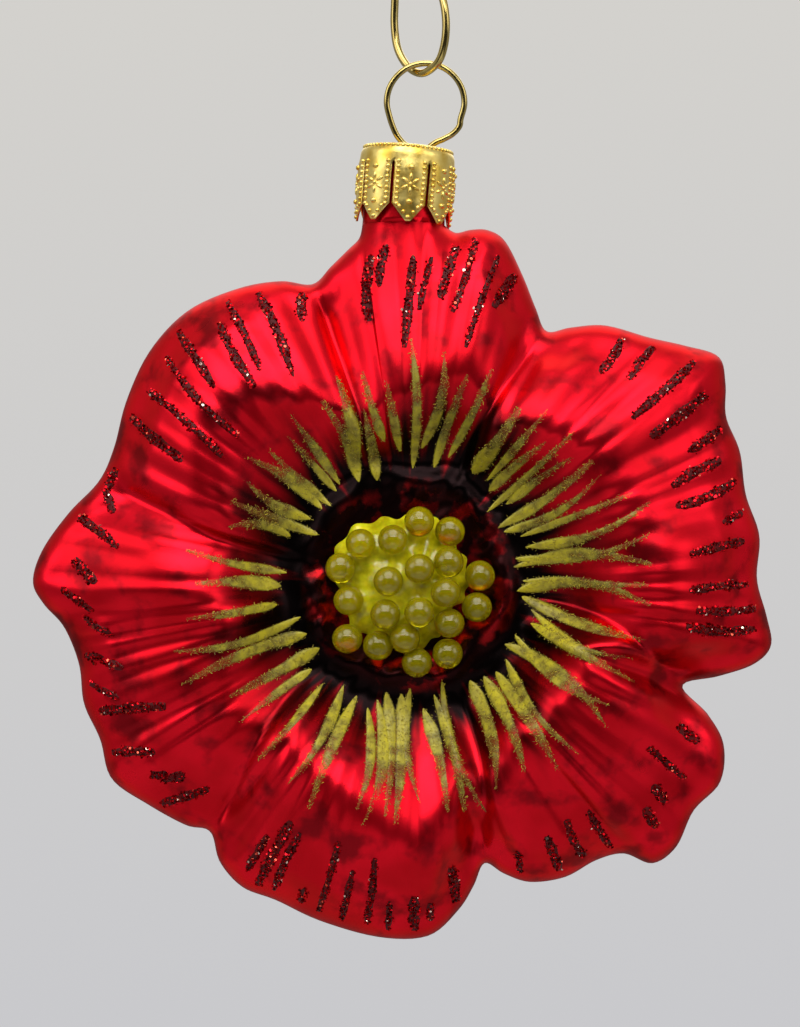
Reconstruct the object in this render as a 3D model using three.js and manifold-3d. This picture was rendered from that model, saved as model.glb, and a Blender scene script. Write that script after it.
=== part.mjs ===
// A blown-glass ornament in the form of a six-petalled mallow flower, as it hangs.
//
// One hollow glass body, blown in a mould, ends at the top in a round neck. A stamped crown cap
// grips the neck, and a bent wire hanger goes through a slot in the cap and springs open inside
// the glass. A wire hook is threaded through the hanger's ring. A bed of glue in the flower's
// throat holds a cluster of glass beads.
//
// Millimetres, +Z up. The flower faces -Y. The origin is the inside of the hook's top bend, where
// the ornament hangs. The pieces are laid out round the flower's centre, and the last group moves
// them all so that the hanging point is at the origin.

import * as THREE from "three";
import { mergeVertices } from "three/addons/utils/BufferGeometryUtils.js";
import Module from "manifold-3d";

const wasm = await Module();
wasm.setup();

const DEG = Math.PI / 180;

// ---------------------------------------------------------------- driving dimensions

// The rim, clockwise from the right of the neck, as [angle from +X in degrees, radius]. Each row
// is one petal and ends in the notch between it and the next.
const RIM = [
  [84.5, 49.1], [82.6, 48.3], [80.3, 49], [77.6, 49.4], [74.5, 48.5], [70, 44.8], [65.5, 41.3], [61.7, 39.2],
  [58, 41.3], [53, 44.2], [46, 46.8], [41, 49.6], [36.5, 52.2], [32.5, 50.9], [28, 48.7], [22, 48.4],
  [15, 47.3], [8, 48], [1, 47.2], [-5, 48.7], [-9.5, 49.8], [-13, 48], [-16.5, 43.8], [-20.3, 39.5],
  [-23.5, 44.2], [-27, 47.9], [-32.5, 50], [-38.5, 49.3], [-44.5, 50.8], [-49, 50.2], [-51.5, 46.7],
  [-56, 45.2], [-62, 45], [-68, 43.6], [-72, 41.3], [-75, 39.2],
  [-78, 41.8], [-81.5, 44.7], [-87, 47.8], [-95, 48.1], [-105, 47.3], [-113, 46.6], [-119, 47],
  [-124.5, 45.7], [-129, 43.2],
  [-133, 44.7], [-140, 46.5], [-147, 48.4], [-153.5, 47.1], [-160, 47.2], [-166.5, 46.3], [-173, 47.4],
  [-177, 49.9], [-180.5, 51.3], [-185.5, 50.2], [-192, 47.4], [-198.5, 44.6],
  [-205, 44.4], [-213, 46], [-222, 47.6], [-231, 48], [-240, 46.6], [-247, 44.9], [-252, 43],
  [-256, 44.6], [-259.4, 46.3], [-261.6, 47.6], [-262.4, 49.2],
];

// The fold between each petal and the next, as its angle at the rim and at the throat.
const FOLDS = [
  { rim: 61.7, throat: 66 },
  { rim: -20.3, throat: -7 },
  { rim: -75, throat: -65 },
  { rim: -129, throat: -137.5 },
  { rim: -198.5, throat: -194 },
  { rim: -252, throat: -253 },
];

const GLASS = {
  wall: 1,
  edgeRadius: 5.6, // the rim is rounded to this radius, which is also the neck's
  crestShare: 0.61, // the petals' crest, as a share of the way to the rim
  crestHeight: 7.2, // how far the crest stands in front of the rounded rim
  throatRadius: 15,
  throatDepth: 8.2, // from the crest down to the throat's floor
  ringRadius: 13.2, // the low ring round the throat's floor
  ringHeight: 0.9,
  foldDepth: 2.4,
  foldWidth: 4.5,
  backHeight: 8,
  backFoldDepth: 1.5,
  calyxHeight: 1.6,
  calyxRadius: 9,
};

const NECK = {
  foot: 48.9,
  centre: -0.9,
  lean: 4.5, // degrees, its top toward +X
  topRadius: 5.35,
  belowCapTop: 0.6,
};

const CAP = {
  x: -0.2,
  z: 59.5,
  turn: 6, // round its own axis, seen from above
  height: 10.6,
  topRadius: 6.4,
  skirtRadius: 6.3, // at the tabs' tips
  shoulder: 1.5,
  sheet: 0.25,
  tabs: 8,
  slotTop: 2.4, // from the top down to where the tabs part
  slotWidth: 0.4,
  tabPoint: 2.3, // the height of each tab's pointed end
  hangerSlot: { centre: 1.3, length: 5.2, width: 1.6 },
};

const HANGER = { wire: 0.85, ringX: 2.12, ringZ: 65.7, ringRadius: 5.28 };

const HOOK = { wire: 1.1, x: 1.75, z: 69.65, turn: 42, bendRadius: 6.4, bendHeight: 31 };

const BED = { radius: 9, rise: 3, edge: 0.6, gap: 0.3 };

const BEAD = { radius: 1.9, gap: 0.35 };

// Each bead's place across the throat, [x, z], and how far it is lifted off the bed by those
// under it.
const BEADS = [
  [1.2, 8.6, 0.4], [5.3, 7.3, 0], [-2.3, 6.2, 0.2], [-6.6, 5.7, 0], [-9.3, 2.4, 0], [1.2, 2.4, 0.3],
  [5.1, 3.2, 0], [9.3, 1.4, 0], [-2.9, 0.7, 0.3], [4.7, -0.8, 0.4], [8.9, -2.8, 0], [-8.2, -1.9, 0],
  [-3.3, -3.7, 0.2], [1.2, -3.4, 0.3], [5.2, -4.9, 0.2], [-8.4, -7, 0.3], [-4.3, -7.9, 0.2],
  [-0.7, -6.9, 0], [0.9, -10.2, 0], [5, -9, 0],
];

// ---------------------------------------------------------------- small helpers

const clamp01 = (t) => Math.min(1, Math.max(0, t));
const smooth = (from, to, value) => {
  const t = clamp01((value - from) / (to - from));
  return t * t * (3 - 2 * t);
};
// 1 where value is at or before from, 0 at or past to, with a cosine between them.
const easeDown = (from, to, value) => (1 + Math.cos(Math.PI * clamp01((value - from) / (to - from)))) / 2;
const polar = (degrees, radius) => {
  const turn = degrees * DEG;
  return new THREE.Vector2(Math.cos(turn) * radius, Math.sin(turn) * radius);
};

// A closed mesh from triangles, each a list of three Vector3. Triangles with two corners in one
// place, as at a pole, are dropped.
function meshGeometry(triangles) {
  const kept = triangles.filter(
    ([a, b, c]) => a.distanceTo(b) > 1e-6 && b.distanceTo(c) > 1e-6 && c.distanceTo(a) > 1e-6,
  );
  return new THREE.BufferGeometry().setFromPoints(kept.flat());
}

// The triangles of a grid of points, at(i, j) for i in 0..rows and j in 0..columns.
function gridTriangles(rows, columns, at, flip) {
  const triangles = [];
  for (let i = 0; i < rows; i++) {
    for (let j = 0; j < columns; j++) {
      const corners = [at(i, j), at(i, j + 1), at(i + 1, j + 1), at(i + 1, j)];
      if (flip) corners.reverse();
      triangles.push([corners[0], corners[1], corners[2]], [corners[0], corners[2], corners[3]]);
    }
  }
  return triangles;
}

// A round bar along a curve, with flat ends.
function wireGeometry(curve, diameter, steps, sides = 8) {
  const section = new THREE.Shape();
  for (let i = 0; i < sides; i++) {
    const corner = polar((360 * i) / sides, diameter / 2);
    if (i === 0) section.moveTo(corner.x, corner.y);
    else section.lineTo(corner.x, corner.y);
  }
  return new THREE.ExtrudeGeometry(section, { steps, bevelEnabled: false, extrudePath: curve });
}

function toManifold(geometry) {
  const bare = geometry.index ? geometry.toNonIndexed() : geometry.clone();
  bare.deleteAttribute("normal");
  bare.deleteAttribute("uv");
  const merged = mergeVertices(bare, 1e-4);
  return new wasm.Manifold(
    new wasm.Mesh({
      numProp: 3,
      vertProperties: new Float32Array(merged.attributes.position.array),
      triVerts: new Uint32Array(merged.index.array),
    }),
  );
}

function fromManifold(solid) {
  const { vertProperties, triVerts } = solid.getMesh();
  return new THREE.BufferGeometry()
    .setAttribute("position", new THREE.BufferAttribute(vertProperties, 3))
    .setIndex(new THREE.BufferAttribute(triVerts, 1));
}

// ---------------------------------------------------------------- glass body

const RIM_COLUMNS = 88;
const NECK_COLUMNS = 10;
const COLUMNS = RIM_COLUMNS + NECK_COLUMNS;

const rimCurve = new THREE.SplineCurve(RIM.map(([degrees, radius]) => polar(degrees, radius)));

// The outline that the rim's rounding is measured from: the rim, and the neck's sides carried up.
const edgeLine = rimCurve.getPoints(4 * RIM.length);
const neckRise = new THREE.Vector2(0, 30);
edgeLine.unshift(edgeLine[0].clone().add(neckRise));
edgeLine.push(edgeLine[edgeLine.length - 1].clone().add(neckRise));

function distanceToEdge(x, z) {
  let least = Infinity;
  for (let i = 1; i < edgeLine.length; i++) {
    const a = edgeLine[i - 1];
    const along = edgeLine[i].clone().sub(a);
    const share = clamp01(((x - a.x) * along.x + (z - a.y) * along.y) / along.lengthSq());
    least = Math.min(least, Math.hypot(x - a.x - share * along.x, z - a.y - share * along.y));
  }
  return least;
}

// The outline's points: the rim from the right of the neck clockwise to its left, then the neck's
// foot from left to right, closer together at its sides as on a circle seen edge on.
function outline(inset) {
  const points = [];
  for (let j = 0; j < RIM_COLUMNS; j++) {
    const t = j / RIM_COLUMNS;
    const point = rimCurve.getPoint(t);
    const tangent = rimCurve.getTangent(t);
    const normal = new THREE.Vector2(-tangent.y, tangent.x); // outward, because the rim runs clockwise
    const slant = Math.max(0.5, normal.dot(point.clone().normalize()));
    points.push(point.setLength(point.length() - inset / slant));
  }
  const radius = GLASS.edgeRadius - inset;
  for (let j = 0; j <= NECK_COLUMNS; j++) {
    const across = -radius * Math.cos((Math.PI * j) / NECK_COLUMNS);
    points.push(new THREE.Vector2(NECK.centre + across, NECK.foot));
  }
  points[0] = points[COLUMNS].clone();
  return points;
}

// The dips along the folds between petals. Each fold bends from its angle at the throat to its angle
// at the rim.
function foldRelief(x, z, depth) {
  const radius = Math.hypot(x, z);
  const angle = Math.atan2(z, x) / DEG;
  let relief = 0;
  for (const fold of FOLDS) {
    const at = fold.throat + (fold.rim - fold.throat) * smooth(18, 42, radius);
    const apart = ((((angle - at) % 360) + 540) % 360) - 180;
    const arc = apart * DEG * radius;
    relief -= depth * Math.exp(-Math.hypot(arc, 0.4) / GLASS.foldWidth);
  }
  return relief * smooth(13, 24, radius);
}

// The relief of the glass in front of the middle plane, on top of its rounding. share is how far the
// point is from the centre to the rim.
function frontHeight(x, z, share) {
  const radius = Math.hypot(x, z);
  const crest = GLASS.crestShare * (share > 1e-6 ? radius / share : 48);
  return (
    GLASS.crestHeight * easeDown(GLASS.crestShare, 1, share) -
    GLASS.throatDepth * easeDown(GLASS.throatRadius, crest, radius) +
    GLASS.ringHeight * Math.exp(-(((radius - GLASS.ringRadius) / 1.4) ** 2)) +
    foldRelief(x, z, GLASS.foldDepth)
  );
}

// The same for the back, with a raised five-pointed calyx in the middle.
function backHeight(x, z, share) {
  const star = GLASS.calyxRadius + 3 * Math.cos(5 * (Math.atan2(z, x) - 90 * DEG));
  return (
    GLASS.backHeight * easeDown(0.2, 1, share) +
    GLASS.calyxHeight * Math.exp(-((Math.hypot(x, z) / star) ** 4)) +
    foldRelief(x, z, GLASS.backFoldDepth)
  );
}

// One skin of the glass: the front and back of the flower and the neck's wall, inset from the
// outer surface.
function skin(inset, frontRows, backRows, neckRows) {
  const edge = outline(inset);
  const radius = GLASS.edgeRadius - inset;
  const rounding = (distance) => {
    const depth = clamp01((distance - inset) / radius);
    return radius * Math.sqrt(1 - (1 - depth) ** 2);
  };
  // How far round the neck a column is, from 0 at its left to half a turn at its right.
  const neckTurn = (j) => (Math.PI * Math.max(0, (j % COLUMNS) - RIM_COLUMNS)) / NECK_COLUMNS;
  const side = (height, sign, rows) => (i, j) => {
    const corner = edge[j % COLUMNS];
    const share = Math.sin(((i / rows) * Math.PI) / 2);
    const x = corner.x * share;
    const z = corner.y * share;
    if (i === rows) return new THREE.Vector3(x, sign * radius * Math.sin(neckTurn(j)), z);
    const distance = distanceToEdge(x, z);
    const outerShare = (share * corner.length()) / (corner.length() + inset);
    const relief = height(x, z, outerShare) * smooth(0.5, 6, distance);
    return new THREE.Vector3(x, sign * (rounding(distance) + relief), z);
  };
  const neckWall = (sign) => (i, j) => {
    const share = i / neckRows;
    const turn = neckTurn(j + RIM_COLUMNS);
    const at = THREE.MathUtils.lerp(GLASS.edgeRadius, NECK.topRadius, share) - inset;
    const across = (j === NECK_COLUMNS ? 1 : -Math.cos(turn)) * at;
    const lean = NECK.lean * DEG;
    const topX = CAP.x - NECK.belowCapTop * Math.sin(lean);
    const topZ = CAP.z - NECK.belowCapTop * Math.cos(lean);
    return new THREE.Vector3(
      THREE.MathUtils.lerp(NECK.centre, topX, share) + across * Math.cos(lean * share),
      sign * at * Math.sin(turn),
      THREE.MathUtils.lerp(NECK.foot, topZ, share) - across * Math.sin(lean * share),
    );
  };
  return {
    triangles: [
      ...gridTriangles(frontRows, COLUMNS, side(frontHeight, -1, frontRows), false),
      ...gridTriangles(backRows, COLUMNS, side(backHeight, 1, backRows), true),
      ...gridTriangles(neckRows, NECK_COLUMNS, neckWall(-1), false),
      ...gridTriangles(neckRows, NECK_COLUMNS, neckWall(1), true),
    ],
    lip: (sign) => (j) => neckWall(sign)(neckRows, j),
  };
}

function glassBody() {
  const outer = skin(0, 13, 10, 3);
  const inner = skin(GLASS.wall, 13, 8, 3);
  const lip = [-1, 1].flatMap((sign) =>
    gridTriangles(1, NECK_COLUMNS, (i, j) => (i === 0 ? outer : inner).lip(sign)(j), sign > 0),
  );
  const turned = inner.triangles.map(([a, b, c]) => [a, c, b]);
  return meshGeometry([...outer.triangles, ...turned, ...lip]);
}

// ---------------------------------------------------------------- cap

// The cap stands upright with the top of its disc at the origin.
function crownCap() {
  const { topRadius, skirtRadius, shoulder, sheet, height, slotTop, slotWidth, tabPoint } = CAP;
  const profile = [new THREE.Vector2(0, -sheet), new THREE.Vector2(topRadius - shoulder, -sheet)];
  const bend = (radius, from, to) => {
    const points = [];
    for (let i = 0; i <= 3; i++) {
      const turn = ((from + ((to - from) * i) / 3) * Math.PI) / 2;
      points.push(
        new THREE.Vector2(
          topRadius - shoulder + radius * Math.sin(turn),
          -shoulder + radius * Math.cos(turn),
        ),
      );
    }
    return points;
  };
  profile.push(...bend(shoulder - sheet, 0.25, 1));
  profile.push(new THREE.Vector2(skirtRadius - sheet, -height), new THREE.Vector2(skirtRadius, -height));
  profile.push(...bend(shoulder, 1, 0));
  profile.push(new THREE.Vector2(0, 0));
  const cup = toManifold(new THREE.LatheGeometry(profile, 48).rotateX(90 * DEG));

  // What is cut away between two tabs: a narrow slot that widens into the tabs' pointed ends.
  const pitch = (2 * Math.PI * skirtRadius) / CAP.tabs;
  const half = slotWidth / 2;
  const wide = pitch / 2 - 0.35;
  const gap = new THREE.Shape(
    [
      [-half, -slotTop], [-half, -height + tabPoint], [-wide, -height], [-wide, -height - 1],
      [wide, -height - 1], [wide, -height], [half, -height + tabPoint], [half, -slotTop],
    ].map(([x, y]) => new THREE.Vector2(x, y)),
  );
  let cap = cup;
  for (let i = 0; i < CAP.tabs; i++) {
    const cutter = new THREE.ExtrudeGeometry(gap, { depth: 4, bevelEnabled: false });
    cutter.translate(0, 0, skirtRadius - 2).rotateX(90 * DEG);
    cutter.rotateZ(((i + 0.5) / CAP.tabs) * 2 * Math.PI + CAP.turn * DEG);
    cap = cap.subtract(toManifold(cutter));
  }
  const slot = new THREE.BoxGeometry(CAP.hangerSlot.length, CAP.hangerSlot.width, 2);
  return fromManifold(cap.subtract(toManifold(slot.translate(CAP.hangerSlot.centre, 0, 0))));
}

// ---------------------------------------------------------------- hanger and hook

// One bent wire: a leg in the neck, the ring, and the other leg.
function hangerWire() {
  const { ringX, ringZ, ringRadius } = HANGER;
  const points = [
    [-3.5, 44], [-3.4, 49], [-2.4, 54], [-0.7, 57.7], [-0.25, 59.4], [-1.1, 60.3], [-2, 61.6],
  ];
  for (let degrees = 202; degrees >= -25; degrees -= 22.7) {
    const onRing = polar(degrees, ringRadius);
    points.push([ringX + onRing.x, ringZ + onRing.y]);
  }
  points.push(
    [6.7, 62.4], [5.75, 61.35], [4.5, 60.65], [3.4, 60.15], [2.4, 59.25],
    [2, 57.6], [2.3, 54], [2.8, 49], [3, 44],
  );
  const path = new THREE.CatmullRomCurve3(points.map(([x, z]) => new THREE.Vector3(x, 0, z)));
  return wireGeometry(path, HANGER.wire, 74);
}

// A wire bent to a closed eye below, which holds the hanger's ring, and an open bend above. It is
// laid out in the XZ plane with the eye's lowest point at the origin.
function hookWire() {
  const { bendRadius, bendHeight } = HOOK;
  const points = [
    [-3, 15.7], [-0.2, 14.9], [2.3, 12.6], [3.7, 9.4], [4.2, 6.2], [3.8, 3.2], [2.6, 1.1], [0, 0],
    [-2.5, 1], [-4.5, 3.6], [-5.2, 7], [-5.1, 11], [-5, 16], [-5.6, 22], [-6.3, 27],
  ];
  for (let degrees = 180; degrees >= 0; degrees -= 22.5) {
    const onBend = polar(degrees, bendRadius);
    points.push([onBend.x, bendHeight + onBend.y]);
  }
  points.push([6.6, 27.4], [7.4, 24.6], [8.8, 22.9]);
  const path = new THREE.CatmullRomCurve3(points.map(([x, z]) => new THREE.Vector3(x, 0, z)));
  return wireGeometry(path, HOOK.wire, 84);
}

// ---------------------------------------------------------------- beads and their bed

// The throat's floor, as a distance in front of the middle plane.
const FLOOR = GLASS.edgeRadius + GLASS.crestHeight - GLASS.throatDepth;

// The bed's height above its own flat back, at a radius across the throat.
const bedHeight = (radius) => BED.edge + BED.rise * Math.max(0, 1 - (radius / BED.radius) ** 2);

// A low dome of glue with a slightly wavy edge. Its flat back is in the XZ plane.
function glueBed() {
  const rows = 5;
  const columns = 28;
  const edge = (j) => {
    const turn = (2 * Math.PI * (j % columns)) / columns;
    return polar(turn / DEG, BED.radius - 0.7 + 0.35 * Math.cos(5 * turn) + 0.25 * Math.sin(3 * turn));
  };
  const at = (lift) => (i, j) => {
    const point = edge(j).multiplyScalar(i / rows);
    return new THREE.Vector3(point.x, -lift(point.length()), point.y);
  };
  const rim = (i, j) => at(i === 0 ? bedHeight : () => 0)(rows, j);
  return meshGeometry([
    ...gridTriangles(rows, columns, at(bedHeight), true),
    ...gridTriangles(1, columns, (i, j) => at(() => 0)(i * rows, j), false),
    ...gridTriangles(1, columns, rim, true),
  ]);
}

// ---------------------------------------------------------------- materials

const material = (color, metalness, roughness) =>
  new THREE.MeshStandardMaterial({ color, metalness, roughness });
const redGlass = material("#c4121f", 0.8, 0.3);
const goldSheet = material("#c9a23a", 1, 0.3);
const goldWire = material("#b59a4c", 1, 0.18);
const beadGlass = material("#a39a12", 0, 0.05);
const glue = material("#b8b020", 0, 0.25);

// ---------------------------------------------------------------- assembly

function piece(name, geometry, finish) {
  const mesh = new THREE.Mesh(geometry, finish);
  mesh.name = name;
  return mesh;
}

const flower = new THREE.Group();

flower.add(piece("glass_body", glassBody(), redGlass));

const cap = piece("crown_cap", crownCap(), goldSheet);
cap.position.set(CAP.x, 0, CAP.z);
cap.rotation.y = NECK.lean * DEG;
flower.add(cap);

flower.add(piece("hanger_wire", hangerWire(), goldWire));

const hook = piece("hook", hookWire(), goldWire);
hook.position.set(HOOK.x, 0, HOOK.z);
hook.rotation.z = -HOOK.turn * DEG;
flower.add(hook);

const centre = new THREE.Group();
centre.position.y = -(FLOOR + BED.gap);
centre.add(piece("bead_glue", glueBed(), glue));
BEADS.forEach(([x, z, lift], i) => {
  const bead = piece(
    `bead_${String(i + 1).padStart(2, "0")}`,
    new THREE.SphereGeometry(BEAD.radius, 10, 7),
    beadGlass,
  );
  bead.position.set(x, -(bedHeight(Math.hypot(x, z)) + BEAD.radius + BEAD.gap + lift), z);
  centre.add(bead);
});
flower.add(centre);

const ornament = new THREE.Group();
flower.position.set(-HOOK.x, 0, -(HOOK.z + HOOK.bendHeight + HOOK.bendRadius - HOOK.wire / 2));
ornament.add(flower);

export default ornament;
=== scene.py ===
"""Looks of a blown-glass ornament in the form of a six-petalled mallow flower.

Lengths named here are in millimetres and MM turns them to metres. The part's origin is the inside
of the hook's top bend. The flower faces -Y.
"""

import math

import bmesh
import bpy
import numpy as np
from mathutils import Matrix, Vector


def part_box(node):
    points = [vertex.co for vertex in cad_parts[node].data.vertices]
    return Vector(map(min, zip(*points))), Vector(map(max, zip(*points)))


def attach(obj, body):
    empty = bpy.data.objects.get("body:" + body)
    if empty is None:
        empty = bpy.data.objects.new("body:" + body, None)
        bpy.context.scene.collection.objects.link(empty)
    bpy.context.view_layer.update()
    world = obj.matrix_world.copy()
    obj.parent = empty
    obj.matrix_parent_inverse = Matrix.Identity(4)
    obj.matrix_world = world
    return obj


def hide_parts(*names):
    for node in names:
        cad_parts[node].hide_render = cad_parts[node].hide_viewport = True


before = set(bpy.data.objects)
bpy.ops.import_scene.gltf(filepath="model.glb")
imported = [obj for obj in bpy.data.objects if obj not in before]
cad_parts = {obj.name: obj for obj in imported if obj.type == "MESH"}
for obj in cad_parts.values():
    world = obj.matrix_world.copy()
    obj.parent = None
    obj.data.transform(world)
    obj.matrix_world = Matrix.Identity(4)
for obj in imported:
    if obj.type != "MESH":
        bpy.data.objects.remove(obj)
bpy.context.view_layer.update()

MM = 0.001

# ---------------------------------------------------------------- glass body
# One hollow body of thin glass, blown in a mould, silvered inside and sprayed outside with a satin
# transparent red lacquer. The throat is airbrushed black over the red. It hangs by its neck.

# The flower's centre as seen from the hanging point: across, and up.
CENTRE = np.array([-1.75, -106.5])

# The rim, clockwise from the right of the neck: [angle from +X in degrees, radius].
RIM = [
    [
        84.5, 49.1,
    ], [82.6, 48.3], [80.3, 49], [77.6, 49.4], [74.5, 48.5], [70, 44.8], [65.5, 41.3], [61.7, 39.2],
    [58, 41.3], [53, 44.2], [46, 46.8], [41, 49.6], [36.5, 52.2], [32.5, 50.9], [28, 48.7], [22, 48.4],
    [15, 47.3], [8, 48], [1, 47.2], [-5, 48.7], [-9.5, 49.8], [-13, 48], [-16.5, 43.8], [-20.3, 39.5],
    [-23.5, 44.2], [-27, 47.9], [-32.5, 50], [-38.5, 49.3], [-44.5, 50.8], [-49, 50.2], [-51.5, 46.7],
    [-56, 45.2], [-62, 45], [-68, 43.6], [-72, 41.3], [-75, 39.2],
    [-78, 41.8], [-81.5, 44.7], [-87, 47.8], [-95, 48.1], [-105, 47.3], [-113, 46.6], [-119, 47],
    [-124.5, 45.7], [-129, 43.2],
    [-133, 44.7], [-140, 46.5], [-147, 48.4], [-153.5, 47.1], [-160, 47.2], [-166.5, 46.3], [-173, 47.4],
    [-177, 49.9], [-180.5, 51.3], [-185.5, 50.2], [-192, 47.4], [-198.5, 44.6],
    [-205, 44.4], [-213, 46], [-222, 47.6], [-231, 48], [-240, 46.6], [-247, 44.9], [-252, 43],
    [-256, 44.6], [-259.4, 46.3], [-261.6, 47.6], [-262.4, 49.2],
]

# The folds between petals: [angle at the rim, angle at the throat, step]. The step is how far the
# petal on the fold's clockwise side stands over the one on its other side.
FOLDS = [
    [61.7, 66, 0.9], [-20.3, -7, 0.9], [-75, -65, -0.7], [-129, -137.5, -0.7], [-198.5, -194, 1.1],
    [-252, -253, -0.9],
]

EDGE_RADIUS = 5.6
CREST_SHARE, CREST_HEIGHT = 0.61, 7.2
THROAT_RADIUS, THROAT_DEPTH = 15, 8.2
RING_RADIUS, RING_HEIGHT = 12.9, 0.9
FOLD_DEPTH, FOLD_WIDTH = 2.6, 4
BACK_HEIGHT, BACK_FOLD_DEPTH = 8, 1.5
CALYX_HEIGHT, CALYX_RADIUS = 1.6, 9
WALL = 1
NECK_FOOT, NECK_CENTRE, NECK_TOP, NECK_TOP_CENTRE = 48.9, -0.9, 58.9, -0.25
NECK_TOP_RADIUS, NECK_LEAN = 5.35, math.radians(4.5)
RIB_PITCH, RIB_HEIGHT = math.radians(5.3), 0.8


def catmull_rom(points, per_span):
    """Points along a smooth curve through the given points."""
    points = np.array(points, float)
    padded = np.vstack([points[:1], points, points[-1:]])
    t = np.linspace(0, 1, per_span, endpoint=False)[:, None]
    spans = []
    for a, b, c, d in zip(padded, padded[1:], padded[2:], padded[3:]):
        v0, v1 = (c - a) / 2, (d - b) / 2
        spans.append((2 * b - 2 * c + v0 + v1) * t**3 + (-3 * b + 3 * c - 2 * v0 - v1) * t**2 + v0 * t + b)
    return np.vstack(spans + [points[-1:]])


def smooth(start, end, value):
    t = np.clip((value - start) / (end - start), 0, 1)
    return t * t * (3 - 2 * t)


def ease_down(start, end, value):
    return (1 + np.cos(np.pi * np.clip((value - start) / (end - start), 0, 1))) / 2


def ripples(x, z, size, seed):
    """A smooth irregular pattern between about -1 and 1, whose features are about size across."""
    random = np.random.default_rng(seed)
    total = 0
    for _ in range(7):
        turn, phase = random.uniform(0, 2 * np.pi, 2)
        rate = 2 * np.pi / (size * random.uniform(1.2, 2.6))
        total = total + np.sin(rate * (x * np.cos(turn) + z * np.sin(turn)) + phase)
    return total / 4


rim_polar = np.radians([[a, 0] for a, _ in RIM])[:, 0]
rim_points = np.array([[r * np.cos(a), r * np.sin(a)] for a, (_, r) in zip(rim_polar, RIM)])
edge_line = catmull_rom(rim_points, 8)
edge_line = np.vstack([edge_line[0] + [0, 30], edge_line, edge_line[-1] + [0, 30]])


def distance_to_edge(x, z):
    """How far each point is inside the rim, counting the neck's sides as part of the rim."""
    start, along = edge_line[:-1], np.diff(edge_line, axis=0)
    length = (along**2).sum(1)
    least = np.empty(x.size)
    flat_x, flat_z = x.ravel(), z.ravel()
    for first in range(0, x.size, 20000):
        px, pz = flat_x[first:first + 20000, None], flat_z[first:first + 20000, None]
        share = np.clip(((px - start[:, 0]) * along[:, 0] + (pz - start[:, 1]) * along[:, 1]) / length, 0, 1)
        gap = np.hypot(px - start[:, 0] - share * along[:, 0], pz - start[:, 1] - share * along[:, 1])
        least[first:first + 20000] = gap.min(1)
    return least.reshape(x.shape)


def outline_radius(angle):
    """The outline's radius at an angle, with the neck's foot as a straight line."""
    polar = np.arctan2(edge_line[1:-1, 1], edge_line[1:-1, 0])
    radius = np.hypot(edge_line[1:-1, 0], edge_line[1:-1, 1])
    order = np.argsort(polar)
    around = np.interp(angle, polar[order], radius[order], period=2 * np.pi)
    at_neck = (angle > polar[0]) & (angle < polar[-1])
    return np.where(at_neck, NECK_FOOT / np.maximum(np.sin(angle), 0.5), around)


def fold_relief(radius, angle, depth, step_share):
    relief = 0
    for rim, throat, step in FOLDS:
        at = np.radians(throat + (rim - throat) * smooth(18, 42, radius))
        apart = (angle - at + np.pi) % (2 * np.pi) - np.pi
        arc = apart * radius
        relief = relief - depth * np.exp(-np.hypot(arc, 0.25) / FOLD_WIDTH)
        relief = relief - step_share * step * np.tanh(arc / 0.5) * np.exp(-np.abs(arc) / 5)
    return relief * smooth(12, 24, radius)


def at_folds(radius, angle, width):
    """1 on the nearest fold's line near the throat, falling to 0 away from it."""
    total = 0
    for _, throat, _ in FOLDS:
        apart = (angle - math.radians(throat) + np.pi) % (2 * np.pi) - np.pi
        total = total + np.exp(-((apart * radius / width) ** 2))
    return total


def ribs(x, z, radius, angle, distance):
    """Fine ridges that fan out over the petals, uneven in height."""
    phase = (angle + 0.02 * np.sin(7 * angle + 1) + 0.012 * np.sin(17 * angle)) / RIB_PITCH
    ridge = np.abs(np.cos(np.pi * phase + 0.35 * ripples(x, z, 14, 4))) - 0.64
    uneven = 0.62 + 0.38 * np.sin(2.3 * phase + 0.7) * np.sin(0.9 * phase)
    at_sides = 0.5 + 0.5 * np.clip(0.5 - 0.9 * np.cos(angle - math.radians(20)) + np.cos(angle) ** 2, 0, 1.2)
    return RIB_HEIGHT * ridge * uneven * at_sides * smooth(19, 36, radius) * smooth(0.3, 3.5, distance)


def front_height(x, z):
    """How far the glass stands in front of the middle plane."""
    radius, angle = np.hypot(x, z), np.arctan2(z, x)
    rim = outline_radius(angle)
    share = radius / rim
    distance = distance_to_edge(x, z)
    depth = np.clip(distance / EDGE_RADIUS, 0, 1)
    crest = CREST_SHARE + 0.05 * np.sin(3 * angle + 0.6) + 0.05 * np.sin(5 * angle + 2)
    ring = RING_RADIUS + 1.2 * np.sin(angle) - 0.7 * np.cos(angle) + 0.4 * ripples(x, z, 5, 6)
    ring = ring + 1.3 * at_folds(radius, angle, 3.2)
    relief = (
        CREST_HEIGHT * ease_down(crest, 1, share)
        - THROAT_DEPTH * ease_down(THROAT_RADIUS, crest * rim, radius)
        + RING_HEIGHT * (1 + 0.4 * ripples(x, z, 7, 7)) * np.exp(-(((radius - ring) / 1.6) ** 2))
        + 0.18 * ripples(x, z, 1.9, 9) * smooth(18, 14, radius) * smooth(7, 10, radius)
        + fold_relief(radius, angle, FOLD_DEPTH, 1)
        + 1.1 * ripples(x, z, 20, 1) * smooth(14, 26, radius)
        + 0.3 * ripples(x, z, 8, 2) * smooth(14, 22, radius)
    )
    rounded = EDGE_RADIUS * np.sqrt(1 - (1 - depth) ** 2)
    return rounded + relief * smooth(0.5, 6, distance) + ribs(x, z, radius, angle, distance)


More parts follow.
